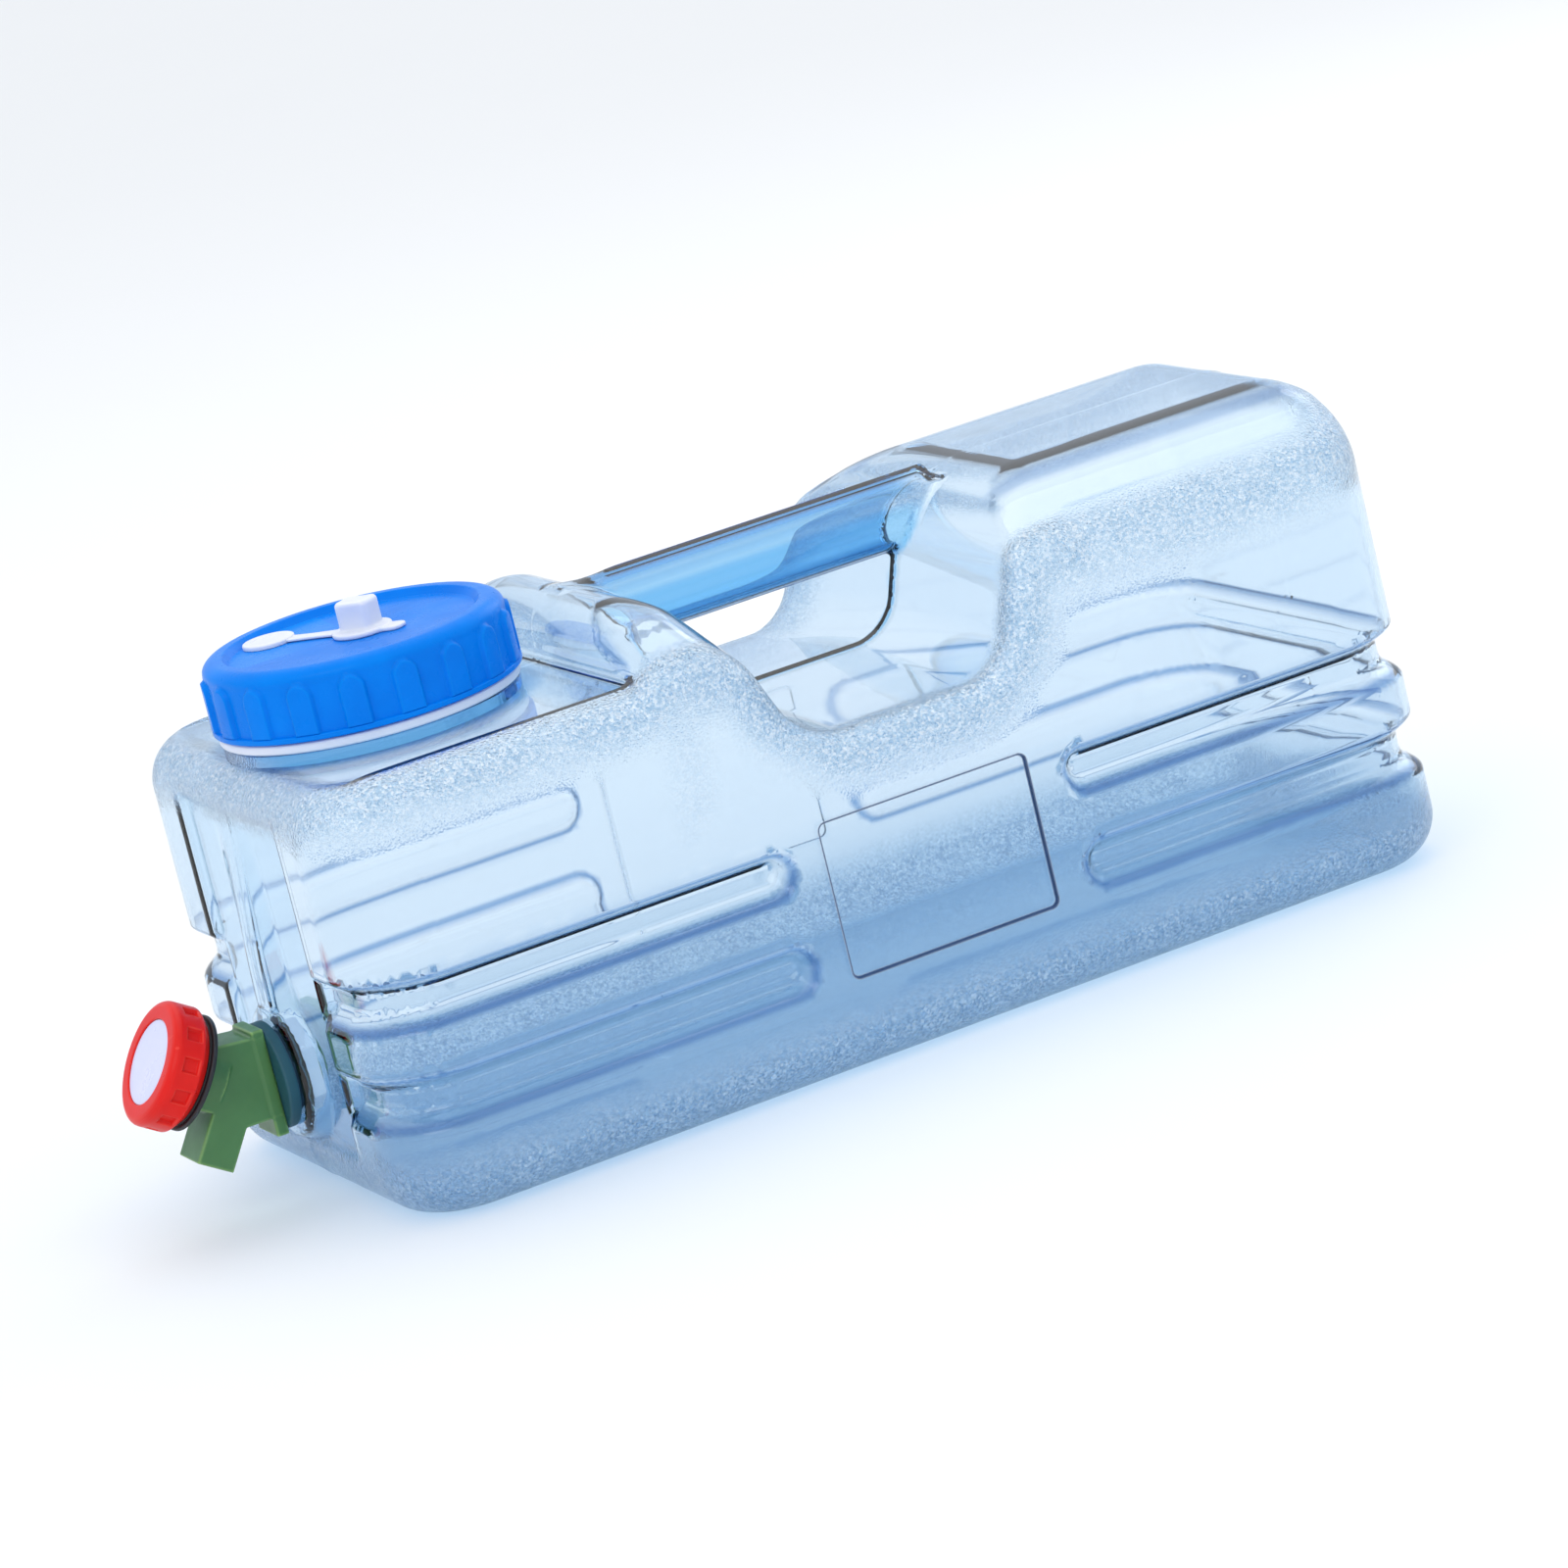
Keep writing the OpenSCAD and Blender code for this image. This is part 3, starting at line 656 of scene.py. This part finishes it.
def steel(name):
    k = Nodes(name)
    p = k.node("BsdfPrincipled")
    k.link(k.mix(k.noise(300.0), (0.62, 0.62, 0.64), (0.5, 0.5, 0.53)), p.inputs["Base Color"])
    p.inputs["Metallic"].default_value = 1.0
    k.link(k.range(k.noise(800.0), 0.3, 0.7, 0.25, 0.45), p.inputs["Roughness"])
    k.link(p.outputs[0], k.out.inputs["Surface"])
    return k.m


# the lid, green tap body and red knob get a painted highlight on their convex edges
M = {
    "body": clear_blue(),
    "lid": plastic("lid_blue_plastic", (0.0, 0.215, 0.81), (0.0, 0.175, 0.72), (0.24, 0.34), 700, 0.00004, edge_highlight=0.2, light=(0.002, 0.34, 0.93), spec=0.07),
    "white": plastic("soft_white_plastic", (0.77, 0.79, 0.86), (0.69, 0.72, 0.82), (0.32, 0.5), 600, 0.00004, sss=0.35, sss_rgb=(1.0, 0.9, 0.85)),
    "green": plastic("tap_green_plastic", (0.075, 0.215, 0.065), (0.05, 0.16, 0.05), (0.3, 0.48), 650, 0.00005, sss=0.12, sss_rgb=(0.5, 1.0, 0.3), edge_highlight=0.7, light=(0.30, 0.48, 0.16)),
    "teal": plastic("gasket_teal_rubber", (0.012, 0.085, 0.115), (0.008, 0.06, 0.085), (0.5, 0.7), 1200, 0.00006),
    "hard_white": plastic("nut_white_plastic", (0.80, 0.82, 0.85), (0.72, 0.74, 0.78), (0.35, 0.5)),
    "black": plastic("black_rubber", (0.012, 0.012, 0.016), (0.02, 0.02, 0.024), (0.45, 0.65), 1200, 0.00005),
    "red": plastic("knob_red_plastic", (0.78, 0.012, 0.008), (0.66, 0.008, 0.006), (0.26, 0.40), 700, 0.00005, sss=0.06, sss_rgb=(1.0, 0.2, 0.1), edge_highlight=0.3, light=(0.95, 0.12, 0.08), spec=0.2),
    "badge": plastic("badge_pale_plastic", (0.70, 0.70, 0.90), (0.60, 0.64, 0.88), (0.22, 0.36), 500, 0.00003),
    "steel": steel("screw_steel"),
}


def dress(o, key):
    o.data.materials.clear()
    o.data.materials.append(M[key])


dress(body, "body")
for node, key in (("lid_gasket", "white"), ("tap_washer", "black"), ("tap_lock_nut", "hard_white"), ("tap_stem", "hard_white"), ("tap_orings", "black"), ("tap_knob_screw", "steel")):
    dress(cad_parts[node], key)

# ------------------------------------------------------------------ lid
PAN = 201.15
VP = np.array([LX + 3.1, -3.9])
VA = np.array([LX - 23.1, 28.9])
V_ANG = math.atan2(VA[1] - VP[1], VA[0] - VP[0])
V_LEN = float(np.hypot(*(VA - VP)))
AX_LID = frame_at((LX, 0, 0), (0, 0, 1), (1, 0, 0))


def densify(p, step):
    out = []
    for a, b in zip(p[:-1], p[1:]):
        n = max(1, int(math.ceil(float(np.hypot(b[0] - a[0], b[1] - a[1])) / step)))
        out += [np.array(a) + (np.array(b) - np.array(a)) * i / n for i in range(n)]
    return out + [np.array(p[-1])]


def make_lid():
    cols = 648
    top = fillet([(0.0, PAN), (47.4, PAN), (49.9, 203.95), (53.6, 203.95)], [0, 0.7, 1.1, 0], 4, False)
    arc = [(52.9 + 6 * math.cos(a), 197.95 + 6 * math.sin(a)) for a in np.linspace(math.pi / 2, 0, 11)][1:]
    skirt = densify([(58.9, 197.95), (58.9, 179.9)], 0.55)
    foot = fillet([(58.9, 179.9), (58.9, 179.3), (60.0, 178.8), (60.0, 176.8), (57.4, 176.8), (57.4, 198.45), (0.0, 198.45)], [0, 0.4, 0.45, 0.5, 0.5, 0.8, 0], 3, False)
    prof = [np.array(q, float) for q in top[:-1]] + [np.array([52.9, 203.95])] + [np.array(q) for q in arc[:-1]] + skirt[:-1] + [np.array(q, float) for q in foot]
    prof = np.array(prof)
    ang = np.arange(cols) * 2 * math.pi / cols
    R = np.repeat(prof[:, 0][:, None], cols, 1)
    Z = np.repeat(prof[:, 1][:, None], cols, 1)
    # raised grip pads with arched tops, standing out of the skirt
    period = math.radians(20)
    off = (ang - math.radians(6) + period / 2) % period - period / 2
    u = np.abs(off)[None, :] * 59.5
    zz = Z
    zc = 193.3
    dist = np.where(zz > zc, np.hypot(u, zz - zc), u) - 5.0
    lift = sstep(0.38, -0.38, dist) * 1.75 - 0.65
    outside = (R > 55.5) & (Z > 178.9) & (np.arange(len(prof))[:, None] < len(top) - 1 + 1 + 9 + len(skirt) + 3)
    # on the rounded shoulder the pads fade out
    fade = np.where(Z > 197.95, np.clip(1 - (Z - 197.95) / 3.0, 0, 1), 1.0)
    R = R + np.where(outside, lift * fade, 0)
    P = np.stack([R * np.cos(ang), R * np.sin(ang), Z], 2)
    o = polar("lid_cap", P, False, AX_LID)
    for s in range(2):
        boolean(o, helix("lid_thread", 57.8, 54.7, 1.5, 0.7, 183.2, 0.75, 12.0, math.pi * s, LX), "UNION")
    for c, r in ((VP, 5.0), (VA, 3.0)):
        boolean(o, turned("bore", [(0, 190.0), (r, 190.0), (r, 210.0), (0, 210.0)], 48, frame_at((c[0], c[1], 0), (0, 0, 1), (1, 0, 0)), closed=False))
    weighted(o)
    mesh_stats(o)
    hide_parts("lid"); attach(o, "lid"); dress(o, "lid")
    return o


make_lid()

# ------------------------------------------------------------------ air vent
CV, SV = math.cos(V_ANG), math.sin(V_ANG)


def round_box(x, y, z, c, half, r_plan, r_edge):
    qx, qy = np.abs(x - c[0]) - (half[0] - r_plan), np.abs(y - c[1]) - (half[1] - r_plan)
    d = np.sqrt(np.maximum(qx, 0) ** 2 + np.maximum(qy, 0) ** 2) + np.minimum(np.maximum(qx, qy), 0) - r_plan
    return rmax(d, np.abs(z - c[2]) - half[2], r_edge)


def vent_d(x, y, z):
    u = (x - VP[0]) * CV + (y - VP[1]) * SV
    v = -(x - VP[0]) * SV + (y - VP[1]) * CV
    w = z - PAN
    rr = np.hypot(u, v)
    stem = rmax(rr - 4.95, np.abs(w + 3.7) - 4.5, 0.8)
    stem = np.minimum(stem, rmax(rr - 3.4, np.abs(w + 3.5) - 4.6, 0.5))
    flange = rmax(rr - 11.6, np.abs(w - 1.1) - 1.0, 0.8)
    tab = round_box(u, v, w, (-11.5, 0, 0.9), (6.5, 4.5, 0.8), 3.6, 0.6)
    knob = round_box(u, v, w, (0, 0, 6.9), (7.3, 6.0, 6.4), 3.2, 2.0)
    # finger dips in the knob's two broad sides and a dished top
    knob = rmax(knob, -(np.sqrt(u * u + (np.abs(v) - 24.5) ** 2 + (w - 8.0) ** 2) - 19.1), 0.8)
    knob = rmax(knob, -(np.sqrt(u * u + v * v + (w - 44.0) ** 2) - 31.2), 0.8)
    d = rmin(flange, tab, 0.5)
    d = rmin(d, knob, 1.3)
    return np.minimum(d, stem)


hv = 0.42
pts, quads = level_set(vent_d, (VP[0] - 20, VP[1] - 20, PAN - 9.5), (VP[0] + 20, VP[1] + 20, PAN + 15), hv)
vent = add("vent_plug_soft", new_mesh("vent_plug_soft", pts, quads))
mesh_stats(vent)
true_normals(vent, ((vent_d, 1.0),))
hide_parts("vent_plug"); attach(vent, "vent_plug"); dress(vent, "white")

# strap: a flat soft band with rounded edges, from under the anchor's rim to the plug's flange
S0, S1 = 11.7, V_LEN - 10.0


def strap_mesh():
    n, k = 60, 24
    rows = []
    for i in range(n + 1):
        t = i / n
        u = S0 + (S1 - S0) * t
        wide = 3.4 - 0.55 * math.sin(math.pi * t)
        thick = 0.6
        end = 1.0 if 0 < i < n else 0.0
        row = []
        for j in range(k):
            a = 2 * math.pi * j / k
            ca, sa = math.cos(a), math.sin(a)
            q = (abs(ca) ** 6 + abs(sa) ** 6) ** (-1 / 6)
            v = wide * ca * q * (1 if end else 0.0) + (0 if end else 0)
            w = 0.9 + thick * sa * q * (1 if end else 0.0)
            row.append((VP[0] + u * CV - v * SV, VP[1] + u * SV + v * CV, PAN + w))
        rows.append(row)
    P = np.array(rows)
    # the end rows shrink to points: put full-size rows just inside them
    P = np.concatenate([P[:1], P[1:2] + (P[0].mean(0) - P[1].mean(0)), P[1:-1], P[-2:-1] + (P[-1].mean(0) - P[-2].mean(0)), P[-1:]])
    return polar("vent_strap_band", P, False)


strap = strap_mesh()
weighted(strap)
mesh_stats(strap)
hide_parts("vent_strap"); dress(strap, "white")
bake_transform(strap)


def dressed(o, node, body_name, key):
    weighted(o)
    mesh_stats(o)
    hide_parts(node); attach(o, body_name); dress(o, key)


AX_VA = frame_at((VA[0], VA[1], 0), (0, 0, 1), (1, 0, 0))
prof = fillet([(0, PAN + 1.55), (6.6, PAN + 1.55), (7.4, PAN + 1.95), (10.2, PAN + 1.95), (10.2, PAN + 0.05), (2.95, PAN + 0.05), (2.95, PAN - 3.6), (0, PAN - 3.6)], [0, 0.5, 0.4, 0.75, 0.3, 0.1, 0.5, 0], 5, False)
dressed(turned("vent_anchor_disc", prof, 96, AX_VA, False), "vent_anchor", "lid", "white")
prof = fillet([(54.1, 172.3), (58.4, 172.3), (58.4, 176.1), (54.1, 176.1)], [0.4, 1.1, 1.1, 0.4], 5)
dressed(turned("neck_ring_seal", prof, 192, AX_LID), "neck_ring", "jug", "white")

# ------------------------------------------------------------------ tap
AX_WALL = frame_at((0, 0, TAP_Z), (1, 0, 0), (0, 1, 0))
prof = fillet([(10.05, -237.48), (21, -237.48), (21, -232.52), (10.05, -232.52)], [0.4, 1.2, 1.2, 0.4], 5)
dressed(turned("tap_gasket_soft", prof, 128, AX_WALL), "tap_gasket", "jug", "teal")
AX_BAR = frame_at(J, A_OUT, (0, 1, 0))
K0, KH, KR = 19.0, 15.5, 24.2
prof = fillet([(5.06, 16.05), (22.4, 16.05), (22.4, 17.95), (20.5, 17.95), (20.5, 18.65), (5.06, 18.65)], [0.1, 0.6, 0.6, 0.2, 0.3, 0.1], 4)
dressed(turned("tap_bonnet_disc", prof, 128, AX_BAR), "tap_bonnet_ring", "jug", "black")
prof = fillet([(0, K0 + KH - 0.30), (13.0, K0 + KH - 0.38), (16.5, K0 + KH - 0.62), (16.5, K0 + KH - 1.55), (0, K0 + KH - 1.55)], [0, 3.0, 0.4, 0.2, 0], 6, False)
dressed(turned("tap_badge_disc", prof, 128, AX_BAR, False), "tap_badge", "tap_handle", "badge")


def make_knob():
    cols = 504
    lip = fillet([(0.0, KH - 1.6), (16.6, KH - 1.6), (16.6, KH), (KR, KH), (KR, 3.2), (KR - 3.4, 0.0), (KR - 6.0, 0.0), (KR - 6.0, 10.0), (8.5, 10.0), (8.5, 0.0), (0.0, 0.0)],
                 [0, 0.25, 0.55, 3.4, 0.9, 0.5, 0.4, 0.8, 0.8, 0.4, 0], 6, False)
    prof = []
    for a, b in zip(lip[:-1], lip[1:]):
        on_rim = a[0] > KR - 2.5 and b[0] > KR - 2.5 and max(a[1], b[1]) > 3.0
        n = max(1, int(math.ceil(float(np.hypot(*(np.array(b) - np.array(a)))) / 0.34))) if on_rim else 1
        prof += [np.array(a) + (np.array(b) - np.array(a)) * i / n for i in range(n)]
    prof = np.array(prof + [np.array(lip[-1])])
    ang = np.arange(cols) * 2 * math.pi / cols
    R = np.repeat(prof[:, 0][:, None], cols, 1)
    Z = np.repeat(prof[:, 1][:, None], cols, 1)
    period = math.radians(30)
    # the barrel's frame has its X along +Y; the dents sit at 10 degrees in the CAD's frame, whose X runs up the spout
    off = (ang - math.radians(-90 + 10) + period / 2) % period - period / 2
    u = np.abs(off)[None, :] * KR
    dent = sstep(2.95, 2.45, u) * sstep(3.0 + 1.2, 3.0 + 1.75, Z) * sstep(10.6, 10.05, Z)
    R = R - np.where((R > KR - 3.0) & (Z > 2.0), dent * 1.6, 0)
    P = np.stack([R * np.cos(ang), R * np.sin(ang), Z + K0], 2)
    o = polar("tap_knob_red", P, False, AX_BAR)
    for r, z0, z1 in ((5.1, -1.0, 1.4), (1.9, 2.0, KH - 0.4), (3.9, KH - 3.4, KH + 1)):
        boolean(o, turned("bore", [(0, K0 + z0), (r, K0 + z0), (r, K0 + z1), (0, K0 + z1)], 48, AX_BAR, closed=False))
    # drive socket: a round hole with two flats
    ring = [(5.02 * math.cos(a), 5.02 * math.sin(a)) for a in np.arange(64) * math.pi / 32]
    # the stem's flats face the spout's direction, which is the local Y of this frame
    ring = [(x, max(-3.62, min(3.62, y))) for x, y in ring]
    lo = [(x, y, K0 - 0.8) for x, y in ring]; hi = [(x, y, K0 + 10.6) for x, y in ring]
    n = len(ring)
    f = [tuple(range(n)), tuple(range(2 * n - 1, n - 1, -1))] + [(i, (i + 1) % n, n + (i + 1) % n, n + i) for i in range(n)]
    v = np.array(lo + hi) @ AX_BAR[:3, :3].T + AX_BAR[:3, 3]
    t = add("socket", new_mesh("socket", v, f)); fix_normals(t); boolean(o, t)
    return o


knob = make_knob()
dressed(knob, "tap_knob", "tap_handle", "red")


def poly_d(px, pz, poly):
    """Signed distance to a closed outline."""
    d = np.full(px.shape, 1e9, px.dtype)
    inside = np.zeros(px.shape, bool)
    n = len(poly)
    for i in range(n):
        (ax, az), (bx, bz) = poly[i], poly[(i + 1) % n]
        ex, ez = bx - ax, bz - az
        wx, wz = px - ax, pz - az
        t = np.clip((wx * ex + wz * ez) / (ex * ex + ez * ez), 0, 1)
        d = np.minimum(d, (wx - ex * t) ** 2 + (wz - ez * t) ** 2)
        if az != bz:
            inside ^= ((az > pz) != (bz > pz)) & (px < ex * (pz - az) / ez + ax)
    return np.sqrt(d) * np.where(inside, -1, 1)


def tp(u, v):
    return (J[0] + A_OUT[0] * u + S_OUT[0] * v, J[2] + A_OUT[2] * u + S_OUT[2] * v)


SIDE = [(-238.5, 36.0), tp(-7.5, 13.9), tp(-7.5, 31.5), tp(7.5, 31.5), tp(7.5, 12), tp(15, 12), tp(15, -12), (-238.5, 68.0)]


def tap_d(x, y, z):
    ay = np.abs(y)
    u = (x - J[0]) * A_OUT[0] + (z - J[2]) * A_OUT[2]
    v = (x - J[0]) * S_OUT[0] + (z - J[2]) * S_OUT[2]
    web = rmax(poly_d(x, z, SIDE), ay - 10.5, 0.9)
    plate = rmax(rmax(np.abs(x + 240.0) - 2.5, np.abs(z - TAP_Z) - 21.0, 0.7), ay - 10.5, 0.9)
    rb = np.hypot(v, y)
    ring = rmax(rb - 12.6, np.abs(u - 11.0) - 5.0, 0.5)
    rs = np.hypot(y, z - TAP_Z)
    spigot = rmax(rs - 10.0, np.abs(x + 226.5) - 12.0, 0.8)
    d = rmin(web, plate, 1.0)
    d = rmin(d, ring, 1.0)
    d = np.minimum(d, spigot)
    bore = np.maximum(rb - 8.05, -8.2 - u)
    port = np.maximum(rb * 0 + np.hypot(u, y) - np.where(v > 12.0, 5.4, 4.6), -v)
    inlet = np.maximum(rs - 5.4, -248.0 - x)
    d = rmax(d, -bore, 0.35)
    d = rmax(d, -port, 0.35)
    return rmax(d, -inlet, 0.35)


ht = 0.52
pts, quads = level_set(tap_d, (-288, -14.6, 20), (-212, 14.6, 74), ht)
tapb = add("tap_body_green", new_mesh("tap_body_green", pts, quads))
mesh_stats(tapb)
thin_out(tapb, 130_000)
true_normals(tapb, ((tap_d, 1.0),))
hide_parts("tap_body"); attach(tapb, "jug"); dress(tapb, "green")

# ------------------------------------------------------------------ camera, floor and light
def camera():
    """The solved viewpoint: place, turn about the vertical, dip, roll and focal length."""
    az, el, roll, f = -0.389, 0.239, 0.241, 6947.9
    back = Vector((math.sin(az) * math.cos(el), -math.cos(az) * math.cos(el), math.sin(el)))
    right = Vector((math.cos(az), math.sin(az), 0)); up = back.cross(right)
    r2 = math.cos(roll) * right - math.sin(roll) * up
    u2 = math.sin(roll) * right + math.cos(roll) * up
    cam = bpy.data.cameras.new("camera")
    o = bpy.data.objects.new("camera", cam)
    m = Matrix((r2, u2, back)).transposed().to_4x4()
    m.translation = Vector((-0.9776, -2.3738, 0.7154))
    o.matrix_world = m
    cam.sensor_width = 36.0
    cam.lens = f / 1600 * 36.0
    cam.clip_end = 60
    bpy.context.scene.collection.objects.link(o)
    bpy.context.scene.camera = o


camera()
fm = bpy.data.meshes.new("floor")
fm.from_pydata([(-40, -40, -0.0003), (40, -40, -0.0003), (40, 40, -0.0003), (-40, 40, -0.0003)], [], [(0, 1, 2, 3)])
floor = add("floor", fm)
k = Nodes("floor_white")
p = k.node("BsdfPrincipled")
k.link(k.mix(k.noise(3.0), (0.86, 0.87, 0.88), (0.85, 0.86, 0.87)), p.inputs["Base Color"])
p.inputs["Roughness"].default_value = 0.75
k.link(p.outputs[0], k.out.inputs["Surface"])
fm.materials.append(k.m)

world = bpy.data.worlds.new("studio")
bpy.context.scene.world = world
world.use_nodes = True
nt = world.node_tree
nt.nodes.clear()
tc = nt.nodes.new("ShaderNodeTexCoord")
sep = nt.nodes.new("ShaderNodeSeparateXYZ"); nt.links.new(tc.outputs["Generated"], sep.inputs[0])
ramp = nt.nodes.new("ShaderNodeValToRGB")
ramp.color_ramp.elements[0].position = 0.0; ramp.color_ramp.elements[0].color = (0.62, 0.73, 0.88, 1)
ramp.color_ramp.elements[1].position = 0.75; ramp.color_ramp.elements[1].color = (1.0, 1.0, 1.0, 1)
nt.links.new(sep.outputs["Z"], ramp.inputs[0])
bg = nt.nodes.new("ShaderNodeBackground"); bg.inputs["Strength"].default_value = 1.08
nt.links.new(ramp.outputs[0], bg.inputs[0])
wo = nt.nodes.new("ShaderNodeOutputWorld"); nt.links.new(bg.outputs[0], wo.inputs[0])


def softbox(name, place, aim, size, power, sy=None):
    L = bpy.data.lights.new(name, "AREA")
    L.energy = power
    L.shape = "RECTANGLE"; L.size = size; L.size_y = sy or size
    o = bpy.data.objects.new(name, L)
    o.location = place
    o.rotation_euler = (Vector(aim) - Vector(place)).to_track_quat("-Z", "Y").to_euler()
    bpy.context.scene.collection.objects.link(o)


softbox("key", (-1.5, -1.3, 1.5), (0, 0, 0.1), 1.3, 7.5, 1.0)
softbox("top", (0.3, 0.5, 1.9), (0, 0, 0.1), 1.8, 6.5, 1.4)
softbox("rim", (1.6, 0.9, 0.9), (0, 0, 0.12), 1.1, 4, 1.0)
bpy.context.scene.view_settings.view_transform = "Standard"
cy = bpy.context.scene.cycles
cy.max_bounces = 32; cy.transmission_bounces = 32; cy.transparent_max_bounces = 24; cy.glossy_bounces = 6; cy.diffuse_bounces = 4
print("done", round(time.time() - T0, 1))
